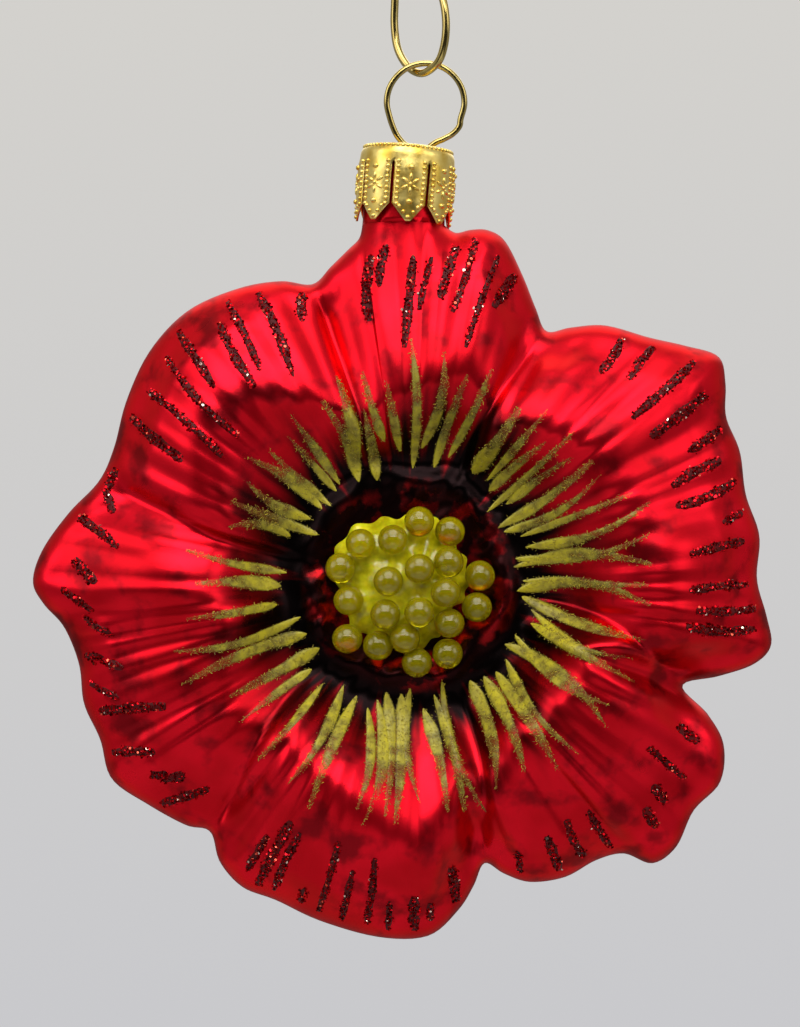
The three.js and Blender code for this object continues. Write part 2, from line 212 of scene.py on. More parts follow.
def back_height(x, z):
    radius, angle = np.hypot(x, z), np.arctan2(z, x)
    share = radius / outline_radius(angle)
    distance = distance_to_edge(x, z)
    depth = np.clip(distance / EDGE_RADIUS, 0, 1)
    star = CALYX_RADIUS + 3 * np.cos(5 * (angle - np.pi / 2))
    relief = (
        BACK_HEIGHT * ease_down(0.2, 1, share)
        + CALYX_HEIGHT * np.exp(-((radius / star) ** 4))
        + fold_relief(radius, angle, BACK_FOLD_DEPTH, 0.4)
        + 0.4 * ripples(x, z, 20, 3) * smooth(10, 20, radius)
    )
    rounded = EDGE_RADIUS * np.sqrt(1 - (1 - depth) ** 2)
    return rounded + relief * smooth(0.5, 6, distance) + 0.8 * ribs(x, z, radius, angle, distance)


def to_world(points):
    """Millimetres from the flower's centre, to metres from the part's origin."""
    points = np.array(points, float)
    return (points + np.array([CENTRE[0], 0, CENTRE[1]])) * MM


def mesh_object(name, vertices, faces, merge=None):
    mesh = bpy.data.meshes.new(name)
    mesh.from_pydata([tuple(v) for v in vertices], [], [tuple(int(i) for i in f) for f in faces])
    if merge:
        work = bmesh.new()
        work.from_mesh(mesh)
        bmesh.ops.remove_doubles(work, verts=work.verts, dist=merge)
        bmesh.ops.dissolve_degenerate(work, edges=work.edges, dist=merge)
        work.to_mesh(mesh)
        work.free()
    mesh.shade_smooth()
    obj = bpy.data.objects.new(name, mesh)
    bpy.context.scene.collection.objects.link(obj)
    return obj


def grid_faces(rows, columns, first, flip):
    """The quads of a grid of points kept row by row, with columns + 1 points in each row."""
    i, j = np.mgrid[0:rows, 0:columns]
    a = first + i * (columns + 1) + j
    quads = np.stack([a, a + 1, a + columns + 2, a + columns + 1], -1).reshape(-1, 4)
    return quads[:, ::-1] if flip else quads


def glass_skin(inset, front_rows, back_rows, neck_rows, rim_columns, neck_columns):
    """One skin of the glass as a list of grids, each (points, flip)."""
    rim = catmull_rom(rim_points, 400)
    picks = np.linspace(0, len(rim) - 1, rim_columns + 1).astype(int)
    along = np.gradient(rim, axis=0)[picks]
    rim = rim[picks]
    outward = np.stack([-along[:, 1], along[:, 0]], 1) / np.hypot(*along.T)[:, None]
    slant = np.maximum(0.5, (outward * rim).sum(1) / np.hypot(*rim.T))
    rim = rim * (1 - inset / slant / np.hypot(*rim.T))[:, None]
    radius = EDGE_RADIUS - inset
    turn = np.linspace(0, np.pi, neck_columns + 1)
    foot = np.stack([NECK_CENTRE - radius * np.cos(turn), np.full(turn.size, NECK_FOOT)], 1)
    edge = np.vstack([rim[:-1], foot, ])
    edge[0] = foot[-1]
    edge_depth = np.concatenate([np.zeros(rim_columns), radius * np.sin(turn)])
    grids = []
    for sign, height, rows in ((-1, front_height, front_rows), (1, back_height, back_rows)):
        share = np.sin(np.linspace(0, np.pi / 2, rows + 1))[:, None]
        x, z = share * edge[:, 0], share * edge[:, 1]
        y = height(x / (1 - inset / 60), z / (1 - inset / 60)) - inset
        y = np.where(distance_to_edge(x, z) < inset, 0, y)
        y[-1] = edge_depth
        grids.append((np.stack([x, sign * np.maximum(y, 0), z], -1), sign > 0))
    for sign in (-1, 1):
        share = np.linspace(0, 1, neck_rows + 1)[:, None]
        at = EDGE_RADIUS + (NECK_TOP_RADIUS - EDGE_RADIUS) * share - inset
        across = -at * np.cos(turn)
        x = NECK_CENTRE + (NECK_TOP_CENTRE - NECK_CENTRE) * share + across * np.cos(NECK_LEAN * share)
        z = NECK_FOOT + (NECK_TOP - NECK_FOOT) * share - across * np.sin(NECK_LEAN * share)
        grids.append((np.stack([x, sign * at * np.sin(turn), z], -1), sign > 0))
    return grids


def build_glass_body():
    outer = glass_skin(0, 118, 58, 14, 400, 40)
    inner = glass_skin(WALL, 44, 14, 6, 180, 40)
    vertices, faces = [], []

    def add(points, flip):
        faces.append(grid_faces(points.shape[0] - 1, points.shape[1] - 1, sum(map(len, vertices)), flip))
        vertices.append(points.reshape(-1, 3))

    for points, flip in outer:
        add(points, flip)
    for points, flip in inner:
        add(points, not flip)
    for side in (2, 3):
        add(np.stack([outer[side][0][-1], inner[side][0][-1]]), side == 3)
    return mesh_object("blown_glass_flower", to_world(np.vstack(vertices)), np.vstack(faces), merge=2e-7)


def srgb(code):
    """A linear colour from an sRGB hex code."""
    parts = [int(code[i:i + 2], 16) / 255 for i in (1, 3, 5)]
    return [c / 12.92 if c <= 0.04045 else ((c + 0.055) / 1.055) ** 2.4 for c in parts] + [1]


def add_node(tree, kind, inputs=None, **settings):
    """A node with its settings. An input is given a value, or a socket that is linked to it."""
    node = tree.nodes.new(kind)
    for key, value in settings.items():
        setattr(node, key, value)
    for key, value in (inputs or {}).items():
        if isinstance(value, bpy.types.NodeSocket):
            tree.links.new(value, node.inputs[key])
        else:
            node.inputs[key].default_value = value
    return node


def new_material(name):
    """A material with an empty tree, and its Principled shader linked to the output."""
    material = bpy.data.materials.new(name)
    material.use_nodes = True
    tree = material.node_tree
    tree.nodes.clear()
    shader = add_node(tree, "ShaderNodeBsdfPrincipled")
    add_node(tree, "ShaderNodeOutputMaterial", {"Surface": shader.outputs[0]})
    return material, tree, shader


def object_point(tree, centre=(0, 0, 0)):
    """Object coordinates in millimetres, from a centre given in millimetres."""
    place = add_node(tree, "ShaderNodeTexCoord")
    return add_node(
        tree, "ShaderNodeMapping",
        {"Vector": place.outputs["Object"], "Location": [-c for c in centre], "Scale": [1 / MM] * 3},
    ).outputs[0]


def noise(tree, point, size, detail=2, stretch=(1, 1, 1)):
    """A noise whose features are about size millimetres across."""
    scaled = add_node(
        tree, "ShaderNodeVectorMath", {0: point, 1: [s / size for s in stretch]}, operation="MULTIPLY",
    )
    return add_node(
        tree, "ShaderNodeTexNoise", {"Vector": scaled.outputs[0], "Scale": 1, "Detail": detail}
    ).outputs[0]


def ranged(tree, value, low, high, to_low, to_high, smoothly=False):
    return add_node(
        tree, "ShaderNodeMapRange", {0: value, 1: low, 2: high, 3: to_low, 4: to_high},
        interpolation_type="SMOOTHSTEP" if smoothly else "LINEAR",
    ).outputs[0]


def mixed(tree, share, first, second, blend="MIX"):
    return add_node(
        tree, "ShaderNodeMix", {0: share, 6: first, 7: second}, data_type="RGBA", blend_type=blend,
    ).outputs[2]


def math_node(tree, operation, first, second=0.0):
    return add_node(tree, "ShaderNodeMath", {0: first, 1: second}, operation=operation).outputs[0]


def lacquered_glass():
    """Transparent red lacquer with a satin face over silvered glass. The silver behind the red gives
    deep metallic reflections, and the satin face spreads them and turns pink at a grazing look."""
    material, tree, shader = new_material("satin_red_lacquer_on_silvered_glass")
    point = object_point(tree, (CENTRE[0], 0, CENTRE[1]))
    split = add_node(tree, "ShaderNodeSeparateXYZ", {0: point})
    flat = add_node(tree, "ShaderNodeCombineXYZ", {0: split.outputs[0], 2: split.outputs[2]}).outputs[0]
    radius = add_node(tree, "ShaderNodeVectorMath", {0: flat}, operation="LENGTH").outputs["Value"]
    angle = math_node(tree, "ARCTAN2", split.outputs[2], split.outputs[0])
    in_front = ranged(tree, split.outputs[1], -2, 0, 1, 0)

    # Uneven spray: the red is thicker in soft patches 10 mm or so across.
    patches = noise(tree, point, 9)
    red = mixed(tree, ranged(tree, patches, 0.35, 0.65, 0, 1, True), srgb("#EA0C24"), srgb("#CC0619"))
    # Brush-soft spokes run outward from the throat.
    spoke_point = add_node(
        tree, "ShaderNodeCombineXYZ", {
            0: math_node(tree, "MULTIPLY", angle, 9.0), 1: math_node(tree, "MULTIPLY", radius, 0.06),
        }
    ).outputs[0]
    spokes = add_node(
        tree, "ShaderNodeTexNoise", {"Vector": spoke_point, "Scale": 1.0, "Detail": 2.0},
    ).outputs[0]
    reach = math_node(tree, "ADD", radius, ranged(tree, spokes, 0.3, 0.7, 5, -5))
    throat = math_node(tree, "MULTIPLY", ranged(tree, reach, 17, 29, 1, 0, True), in_front)
    # Inside the low ring the black is mottled with dark red: partly the red lacquer showing through, partly
    # painted reflection for the red glints on the glossy floor.
    floor_red = ranged(tree, radius, 12.5, 15, 1, 0, True)
    lacquer_and_glint_mottles = ranged(tree, noise(tree, point, 3.2, 3), 0.48, 0.62, 0.05, 1, True)
    black = mixed(tree, math_node(tree, "MULTIPLY", floor_red, lacquer_and_glint_mottles), srgb("#0C0203"), srgb("#8E0C12"))
    # Over the front the red darkens in soft blotches about 5 mm across: painted shade and dark reflection on
    # the petals.
    painted_shade_blotches = math_node(
        tree, "MULTIPLY", ranged(tree, noise(tree, point, 5, 3), 0.5, 0.7, 0, 0.75, True), in_front,
    )
    red = mixed(tree, painted_shade_blotches, red, srgb("#6A0510"))
    coloured = mixed(tree, throat, red, black)
    # The satin face is milky where it is seen edge on.
    facing = add_node(tree, "ShaderNodeLayerWeight", {"Blend": 0.25}).outputs["Facing"]
    milk = math_node(
        tree, "MULTIPLY", ranged(tree, facing, 0.5, 1, 0, 0.75, True),
        math_node(tree, "SUBTRACT", 1.0, throat),
    )
    colour = mixed(tree, milk, coloured, srgb("#7E2028"))
    tree.links.new(colour, shader.inputs["Base Color"])
    tree.links.new(ranged(tree, throat, 0, 1, 0.88, 0.97), shader.inputs["Metallic"])
    grain = noise(tree, point, 0.35, 3)
    rough = math_node(
        tree, "ADD", ranged(tree, throat, 0, 1, 0.3, 0.26), ranged(tree, patches, 0.3, 0.7, -0.03, 0.05),
    )
    tree.links.new(rough, shader.inputs["Roughness"])
    shader.inputs["Specular Tint"].default_value = srgb("#A02834")
    shader.inputs["Coat Weight"].default_value = 0.1
    shader.inputs["Coat Roughness"].default_value = 0.32
    # Satin grain about a third of a millimetre, drawn a little coarse so that it shows.
    bump = add_node(tree, "ShaderNodeBump", {"Height": grain, "Strength": 0.12, "Distance": 0.06 * MM})
    tree.links.new(bump.outputs[0], shader.inputs["Normal"])
    return material


glass_body = build_glass_body()
glass_body.data.materials.append(lacquered_glass())
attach(glass_body, "root")
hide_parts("glass_body")

# ---------------------------------------------------------------- painted strokes
# Tongues of olive yellow paint are pulled outward from the throat with a small brush, and yellow
# flock is dusted on while they are wet. The paint is thick at the throat and thins to the tip.

# Fans of strokes: [first and last angle at the throat, first and last angle at the tips, count,
# radius at the throat, radius at the tips].
STROKE_FANS = [
    [61, 29, 57, 30, 7, 15.8, 28.5],
    [24, -8, 24, -12, 7, 15.8, 31],
    [-11, -58, -17, -66, 8, 15.6, 30.8],
    [-73, -107, -72, -101, 7, 14.8, 31],
    [-110, -138, -104, -141, 5, 16, 31],
    [-149, -187, -149, -189, 6, 16, 28.5],
    [-204, -253, -200, -255, 10, 15.5, 27],
    [-261, -286, -257, -292, 6, 18.2, 30.5],
]


def draped_strip(centre_line, widths, lift, across=6):
    """A thin domed strip along a line on the flower's front: its points, faces and, for each point,
    its share along the line and across it."""
    line = np.array(centre_line)
    along = np.gradient(line, axis=0)
    side = np.stack([-along[:, 1], along[:, 0]], 1) / np.hypot(*along.T)[:, None]
    v = np.linspace(-1, 1, across + 1)
    x = line[:, :1] + side[:, :1] * widths[:, None] / 2 * v
    z = line[:, 1:] + side[:, 1:] * widths[:, None] / 2 * v
    dome = np.sqrt(np.clip(1 - v**2, 0, 1)) * np.minimum(1, widths / widths.max() * 1.5)[:, None]
    y = -front_height(x, z) + 0.03 - lift * dome
    share = np.repeat(np.linspace(0, 1, len(line))[:, None], across + 1, 1)
    points = np.stack([x, y, z], -1).reshape(-1, 3)
    return points, grid_faces(len(line) - 1, across, 0, True), share.ravel(), np.abs(np.tile(v, len(line)))


def strips_object(name, strips, lift):
    vertices, faces, shares, sides, count = [], [], [], [], 0
    for line, widths in strips:
        points, quads, share, side = draped_strip(line, widths, lift)
        vertices.append(points)
        faces.append(quads + count)
        shares.append(share)
        sides.append(side)
        count += len(points)
    obj = mesh_object(name, to_world(np.vstack(vertices)), np.vstack(faces))
    for label, values in (("along", shares), ("side", sides)):
        attribute = obj.data.attributes.new(label, "FLOAT", "POINT")
        attribute.data.foreach_set("value", np.concatenate(values))
    return obj


def polar_point(degrees, radius):
    return np.array([math.cos(math.radians(degrees)), math.sin(math.radians(degrees))]) * radius


def stroke_strips():
    random = np.random.default_rng(11)
    strips = []
    for first, last, tip_first, tip_last, count, inner, outer in STROKE_FANS:
        for share in np.linspace(0, 1, count):
            start = polar_point(
                first + (last - first) * share + random.normal(0, 1), inner + random.normal(0, 1),
            )
            end = polar_point(
                tip_first + (
                    tip_last - tip_first
                ) * share + random.normal(0, 1.2), outer + random.normal(0, 1.5)
            )
            bow = np.array([-(end - start)[1], (end - start)[0]]) * random.normal(0, 0.055)
            t = np.linspace(0, 1, 26)[:, None]
            line = start * (1 - t) + end * t + bow * np.sin(np.pi * t)
            width = random.uniform(1.6, 2.9)
            profile = np.minimum(
                1, (t / random.uniform(0.15, 0.4)) ** 0.6,
            ) * (1 - t**1.6 * random.uniform(0.7, 0.98))
            profile = profile * (0.9 + 0.1 * np.sin(9 * t + random.uniform(0, 6)))
            strips.append((line, np.maximum(width * profile[:, 0], 0.08)))
    return strips


def stroke_paint():
    """Hand-brushed acrylic paint, olive yellow. Thin at its tip, where the red shows through."""
    material, tree, shader = new_material("brushed_olive_yellow_acrylic")
    along = add_node(tree, "ShaderNodeAttribute", attribute_name="along").outputs["Fac"]
    point = object_point(tree, (CENTRE[0], 0, CENTRE[1]))
    cloud = noise(tree, point, 1.8)
    tone = math_node(tree, "ADD", along, ranged(tree, cloud, 0.3, 0.7, -0.35, 0.35))
    ramp = add_node(tree, "ShaderNodeValToRGB", {0: tone})
    stops = ramp.color_ramp.elements
    stops[0].position, stops[0].color = 0.0, srgb("#C2B524")
    stops[1].position, stops[1].color = 1.0, srgb("#9A5A20")
    middle = stops.new(0.5)
    middle.color = srgb("#8F842C")
    tree.links.new(ramp.outputs[0], shader.inputs["Base Color"])
    side = add_node(tree, "ShaderNodeAttribute", attribute_name="side").outputs["Fac"]
    edge = ranged(tree, side, 0.55, 1, 1, 0.25, True)
    opaque = math_node(tree, "MULTIPLY", edge, ranged(tree, tone, 0.25, 0.9, 0.92, 0.3, True))
    tree.links.new(opaque, shader.inputs["Alpha"])
    shader.inputs["Roughness"].default_value = 0.42
    bristle = noise(tree, point, 0.5, 2)
    bump = add_node(tree, "ShaderNodeBump", {"Height": bristle, "Strength": 0.3, "Distance": 0.1 * MM})
    tree.links.new(bump.outputs[0], shader.inputs["Normal"])
    return material


def flock_fibre():
    """Rayon flock, dyed yellow: matt fibres under half a millimetre long."""
    material, tree, shader = new_material("yellow_rayon_flock")
    tint = add_node(tree, "ShaderNodeAttribute", attribute_name="tint").outputs["Fac"]
    ramp = add_node(tree, "ShaderNodeValToRGB", {0: tint})
    stops = ramp.color_ramp.elements
    stops[0].position, stops[0].color = 0.0, srgb("#7E701A")
    stops[1].position, stops[1].color = 1.0, srgb("#C9B92E")
    middle = stops.new(0.55)
    middle.color = srgb("#9C8C1E")
    tree.links.new(ramp.outputs[0], shader.inputs["Base Color"])
    shader.inputs["Roughness"].default_value = 0.85
    shader.inputs["Sheen Weight"].default_value = 0.25
    return material


def scatter_tree(name, chip_maker):
    """A tree that scatters chips over the faces of a strip, each turned and sized at random."""
    tree = bpy.data.node_groups.new(name, "GeometryNodeTree")
    tree.interface.new_socket("Geometry", in_out="INPUT", socket_type="NodeSocketGeometry")
    for label, value in (
        ("Chips per square metre", 6e6), ("Chip size", 0.25 * MM), ("Spread", 0.2 * MM), ("Tilt", 0.6),
    ):
        socket = tree.interface.new_socket(label, in_out="INPUT", socket_type="NodeSocketFloat")
        socket.default_value = value
    tree.interface.new_socket("Chip material", in_out="INPUT", socket_type="NodeSocketMaterial")
    tree.interface.new_socket("Geometry", in_out="OUTPUT", socket_type="NodeSocketGeometry")
    given = add_node(tree, "NodeGroupInput").outputs
    points = add_node(
        tree, "GeometryNodeDistributePointsOnFaces",
        {"Mesh": given["Geometry"], "Density": given["Chips per square metre"], "Seed": 7},
    )
    wander = add_node(
        tree, "FunctionNodeRandomValue", {
            "Min": (-1, -0.2, -1), "Max": (1, 0.2, 1), "Seed": 3,
        }, data_type="FLOAT_VECTOR",
    )
    offset = add_node(
        tree, "ShaderNodeVectorMath", {0: wander.outputs[0], "Scale": given["Spread"]}, operation="SCALE",
    )
    moved = add_node(
        tree, "GeometryNodeSetPosition", {"Geometry": points.outputs["Points"], "Offset": offset.outputs[0]},
    )
    tint = add_node(tree, "FunctionNodeRandomValue", {2: 0.0, 3: 1.0, "Seed": 5}, data_type="FLOAT")
    tinted = add_node(
        tree, "GeometryNodeStoreNamedAttribute",
        {
            "Geometry": moved.outputs[0], "Name": "tint", "Value": tint.outputs[1],
        }, data_type="FLOAT", domain="POINT",
    )
    lean = add_node(
        tree, "FunctionNodeRandomValue", {
            "Min": (-1, -1, -3.14), "Max": (1, 1, 3.14), "Seed": 9,
        }, data_type="FLOAT_VECTOR",
    )
    leaned = add_node(
        tree, "ShaderNodeVectorMath",
        {0: lean.outputs[0], 1: add_node(
            tree, "ShaderNodeCombineXYZ", {0: given["Tilt"], 1: given["Tilt"], 2: 1.0}).outputs[0]},
        operation="MULTIPLY",
    )
    turned = add_node(
        tree, "FunctionNodeRotateRotation",
        {"Rotation": points.outputs["Rotation"],
         "Rotate By": add_node(tree, "FunctionNodeEulerToRotation", {0: leaned.outputs[0]}).outputs[0]},
        rotation_space="LOCAL",
    )
    size = add_node(tree, "FunctionNodeRandomValue", {2: 0.6, 3: 1.25, "Seed": 2}, data_type="FLOAT")
    scale = math_node(tree, "MULTIPLY", size.outputs[1], given["Chip size"])
    copies = add_node(
        tree, "GeometryNodeInstanceOnPoints",
        {
            "Points": tinted.outputs[0], "Instance": chip_maker(tree), "Rotation": turned.outputs[0],
            "Scale": scale,
        },
    )
    real = add_node(tree, "GeometryNodeRealizeInstances", {0: copies.outputs[0]})
    finished = add_node(
        tree, "GeometryNodeSetMaterial", {"Geometry": real.outputs[0], "Material": given["Chip material"]},
    )
    add_node(tree, "NodeGroupOutput", {"Geometry": finished.outputs[0]})
    return tree


def grown(name, base, tree, settings):
    """What the tree grows on the base, as a plain mesh object with no modifier."""
    modifier = base.modifiers.new("grow", "NODES")
    modifier.node_group = tree
    for item in tree.interface.items_tree:
        if item.in_out == "INPUT" and item.name in settings:
            modifier[item.identifier] = settings[item.name]
    evaluated = base.evaluated_get(bpy.context.evaluated_depsgraph_get())
    mesh = bpy.data.meshes.new_from_object(evaluated)
    mesh.name = name
    base.modifiers.remove(modifier)
    obj = bpy.data.objects.new(name, mesh)
    bpy.context.scene.collection.objects.link(obj)
    return obj


def fibre_chip(tree):
    """A flock fibre: a short three-sided rod, one unit long, that lies along X."""
    rod = add_node(
        tree, "GeometryNodeMeshCylinder", {"Vertices": 3, "Radius": 0.1, "Depth": 1.0}, fill_type="NGON",
    )
    laid = add_node(
        tree, "GeometryNodeTransform", {"Geometry": rod.outputs[0], "Rotation": (0, math.pi / 2, 0)},
    )
    return laid.outputs[0]


strokes = strips_object("painted_strokes", stroke_strips(), 0.2)
strokes.data.materials.append(stroke_paint())
flock = grown(
    "stroke_flock", strokes, scatter_tree("scatter_flock", fibre_chip),
    {"Chips per square metre": 12e6, "Chip size": 0.34 * MM, "Spread": 0.24 * MM, "Tilt": 0.8,
     "Chip material": flock_fibre()},
)
for piece in (strokes, flock):
    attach(piece, "root")

# ---------------------------------------------------------------- glitter streaks
# Lines of clear glue drawn from near the rim inward, strewn with dark red glitter: hexagons of
# metallised film, which lie at all angles and flash one by one.

# Fans of streaks: [first and last angle, how much the outer end turns, count, inner and outer radius].
GLITTER_FANS = [
    [48, -10, 1, 12, 38.3, 47],
    [-28, -67, -1, 8, 39.3, 45.6],
    [-82, -121, 0, 11, 39.5, 45.8],
    [-135, -199, -4, 12, 40.3, 46.3],
    [-210, -247, -2, 8, 35, 45.2],
    [-261, -286, -2, 8, 38, 45.4],
]


def glitter_strips():
    random = np.random.default_rng(23)
    strips = []
    for first, last, turn, count, inner, outer in GLITTER_FANS:
        for share in np.linspace(0, 1, count):
            at = first + (last - first) * share + random.normal(0, 0.8)
            reach = min(outer + random.normal(0, 1.2), float(outline_radius(np.radians(at + turn))) - 1.6)
            start, end = polar_point(at, inner + random.normal(0, 2.4)), polar_point(at + turn, reach)
            t = np.linspace(0, 1, 18)[:, None]
            bow = np.array([-(end - start)[1], (end - start)[0]]) * random.normal(0, 0.03)
            line = start * (1 - t) + end * t + bow * np.sin(np.pi * t)
            width = random.uniform(1.0, 1.8) * (0.55 + 0.45 * np.sin(np.pi * t[:, 0]) ** 0.4)
            width = width * (0.88 + 0.12 * np.sin(14 * t[:, 0] + random.uniform(0, 6)))
            strips.append((line, width))
    return strips


def glitter_glue():
    """Clear craft glue over red lacquer, dark with the undersides of the flakes."""
    material, tree, shader = new_material("dark_glitter_glue")
    cloud = noise(tree, object_point(tree), 0.6)
    tree.links.new(mixed(tree, cloud, srgb("#2A0304"), srgb("#62090D")), shader.inputs["Base Color"])
    shader.inputs["Roughness"].default_value = 0.45
    shader.inputs["Specular IOR Level"].default_value = 0.15
    return material


def glitter_film():
    """Metallised polyester film, dyed dark red. Some flakes have lost dye and flash pale."""
    material, tree, shader = new_material("dark_red_metallised_film")
    tint = add_node(tree, "ShaderNodeAttribute", attribute_name="tint").outputs["Fac"]
    ramp = add_node(tree, "ShaderNodeValToRGB", {0: tint})
    ramp.color_ramp.interpolation = "CONSTANT"
    stops = ramp.color_ramp.elements
    stops[0].position, stops[0].color = 0.0, srgb("#74060C")
    stops[1].position, stops[1].color = 0.35, srgb("#A80A14")
    for position, code in ((0.72, "#D61C28"), (0.93, "#E8604A"), (0.975, "#F6DCCB")):
        stops.new(position).color = srgb(code)
    tree.links.new(ramp.outputs[0], shader.inputs["Base Color"])
    shader.inputs["Metallic"].default_value = 1
    shader.inputs["Roughness"].default_value = 0.2
    shader.inputs["Specular Tint"].default_value = srgb("#8A2020")
    return material


def film_chip(tree):
    """A hexagon of film, one unit across."""
    plate = add_node(
        tree, "GeometryNodeMeshCylinder", {"Vertices": 6, "Radius": 0.5, "Depth": 0.12}, fill_type="NGON",
    )
    return plate.outputs["Mesh"]


streaks = strips_object("glitter_streaks", glitter_strips(), 0.16)
streaks.data.materials.append(glitter_glue())
glitter = grown(
    "glitter_flakes", streaks, scatter_tree("scatter_glitter", film_chip),
    {"Chips per square metre": 13e6, "Chip size": 0.36 * MM, "Spread": 0.2 * MM, "Tilt": 0.7,
     "Chip material": glitter_film()},
)
for piece in (streaks, glitter):
    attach(piece, "root")

# ---------------------------------------------------------------- bead cluster
# Solid balls of clear yellow-green glass pressed into a bed of yellow glue in the throat. The glue
# has climbed a little round each ball before it set.


def node_centre(node):
    low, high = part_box(node)
    return (low + high) / 2


bead_names = sorted(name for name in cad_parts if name.startswith("bead_") and name != "bead_glue")
bead_centres = np.array([node_centre(name) for name in bead_names]) / MM - [CENTRE[0], 0, CENTRE[1]]
BEAD_RADIUS = 2.03


def bead_glass():
    """Pressed soda glass, yellow-green, polished. It is very slightly milky."""
    material, tree, shader = new_material("clear_yellow_green_glass")
    cloud = noise(tree, object_point(tree), 3)
    tree.links.new(mixed(tree, cloud, srgb("#B9AA06"), srgb("#D0C414")), shader.inputs["Base Color"])
    shader.inputs["Transmission Weight"].default_value = 0.72
    shader.inputs["Roughness"].default_value = 0.04
    shader.inputs["IOR"].default_value = 1.5
    return material


def bead_object(name, centre, random):
    mesh = bpy.data.meshes.new(name)
    ball = bmesh.new()
    bmesh.ops.create_uvsphere(ball, u_segments=40, v_segments=24, radius=1)
    squash = np.array([1, random.uniform(0.93, 1), random.uniform(0.96, 1.02)])
    for vertex in ball.verts:
        vertex.co = Vector(to_world(centre + np.array(vertex.co) * squash * BEAD_RADIUS))
    ball.to_mesh(mesh)
    ball.free()
    mesh.shade_smooth()
    obj = bpy.data.objects.new(name, mesh)
    bpy.context.scene.collection.objects.link(obj)
    return obj


def glue_object():
    """The glue's surface: a dome with a wavy edge, drawn up round each bead."""
    rows, columns = 60, 160
    turn = np.linspace(0, 2 * np.pi, columns + 1)
    edge = 8.9 - 1.3 * np.cos(turn) + 0.9 * np.sin(turn)
    edge = edge + 0.4 * np.cos(5 * turn) + 0.3 * np.sin(3 * turn) + 0.35 * np.sin(17 * turn)
    share = np.sin(np.linspace(0, np.pi / 2, rows + 1))[:, None]
    x, z = share * edge * np.cos(turn), share * edge * np.sin(turn)
    x[:, -1], z[:, -1] = x[:, 0], z[:, 0]
    rise = 2.6 * (1 - share**2.4) + 0.5 * np.sqrt(np.clip(1 - share**8, 0, 1))
    for centre in bead_centres:
        gap = np.hypot(x - centre[0], z - centre[2])
        rise = rise + 1.1 * np.exp(-((gap / 1.7) ** 2)) * smooth(1, 0.8, share)
    rise = rise + 0.2 * ripples(x, z, 3, 8) * smooth(1, 0.85, share)
    top = np.stack([x, -front_height(x, z) - rise + 0.1, z], -1)
    back = np.stack([x[[0, -1]], -front_height(x[[0, -1]], z[[0, -1]]) + 0.15, z[[0, -1]]], -1)
    vertices = np.vstack([top.reshape(-1, 3), back.reshape(-1, 3)])
    first = (rows + 1) * (columns + 1)
    j = np.arange(columns)
    rim, under = rows * (columns + 1) + j, first + (columns + 1) + j
    wall = np.stack([rim, rim + 1, under + 1, under], 1)
    faces = np.vstack([grid_faces(rows, columns, 0, False), wall, grid_faces(1, columns, first, True)])
    return mesh_object("hardened_glue_bed", to_world(vertices), faces, merge=2e-7)


def glue_material():
    """Two-part resin glue tinted yellow: glossy, slightly cloudy, with paler streaks."""
    material, tree, shader = new_material("yellow_resin_glue")
    point = object_point(tree)
    cloud = noise(tree, point, 1.6, 3)
    ramp = add_node(tree, "ShaderNodeValToRGB", {0: cloud})
    stops = ramp.color_ramp.elements
    stops[0].position, stops[0].color = 0.35, srgb("#A8A206")
    stops[1].position, stops[1].color = 0.68, srgb("#E6DE1E")
    tree.links.new(ramp.outputs[0], shader.inputs["Base Color"])
    shader.inputs["Roughness"].default_value = 0.2
    shader.inputs["Coat Weight"].default_value = 0.5
    shader.inputs["Subsurface Weight"].default_value = 0.3
    shader.inputs["Subsurface Scale"].default_value = 1.2 * MM
    return material


bead_finish = bead_glass()
bead_random = np.random.default_rng(5)
for name, centre in zip(bead_names, bead_centres):
    bead = bead_object(name.replace("bead", "glass_bead"), centre, bead_random)
    bead.data.materials.append(bead_finish)
    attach(bead, "root")
    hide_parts(name)

glue_bed = glue_object()
glue_bed.data.materials.append(glue_material())
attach(glue_bed, "root")
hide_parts("bead_glue")

# ---------------------------------------------------------------- crown cap
# A cap stamped from thin gold-coloured sheet, with eight pointed tabs bent down over the neck. The
# stamping leaves rows of raised dots round each tab, a rosette in its middle and a beaded top edge.

CAP_TOP = np.array([-0.2, 0, 59.5])
CAP_LEAN, CAP_TURN = math.radians(4.5), math.radians(6)
CAP_HEIGHT, CAP_RADIUS, CAP_TIP_RADIUS, CAP_SHOULDER = 10.6, 6.4, 6.3, 1.5
TABS, TAB_POINT, SLOT_TOP, SLOT_WIDTH = 8, 2.3, 2.4, 0.4
TAB_PITCH = 2 * math.pi / TABS


def cap_point(turn, drop, out=0.0):
    """A point on the cap's outside, at an angle round it and a distance down from its top, moved
    out along the surface's normal. Also the normal."""
    corner = np.clip(drop / CAP_SHOULDER, 0, 1)
    radius = CAP_RADIUS - CAP_SHOULDER * (1 - np.sqrt(1 - (1 - corner) ** 2))
    fall = np.clip((drop - CAP_SHOULDER) / (CAP_HEIGHT - CAP_SHOULDER), 0, 1)
    radius = radius + (CAP_TIP_RADIUS - CAP_RADIUS) * fall
    across = (turn / TAB_PITCH + 0.5) % 1 - 0.5
    pillow = 0.28 * np.cos(np.pi * across) * smooth(1, 4, drop) - 0.2 * smooth(0.7, 1, fall)
    radius = radius + pillow
    steep = np.clip(drop / CAP_SHOULDER, 0, 1)
    normal = np.stack([steep * np.cos(turn), steep * np.sin(turn), np.sqrt(1 - steep**2)], -1)
    point = np.stack([radius * np.cos(turn), radius * np.sin(turn), -drop], -1)
    return point + normal * out, normal


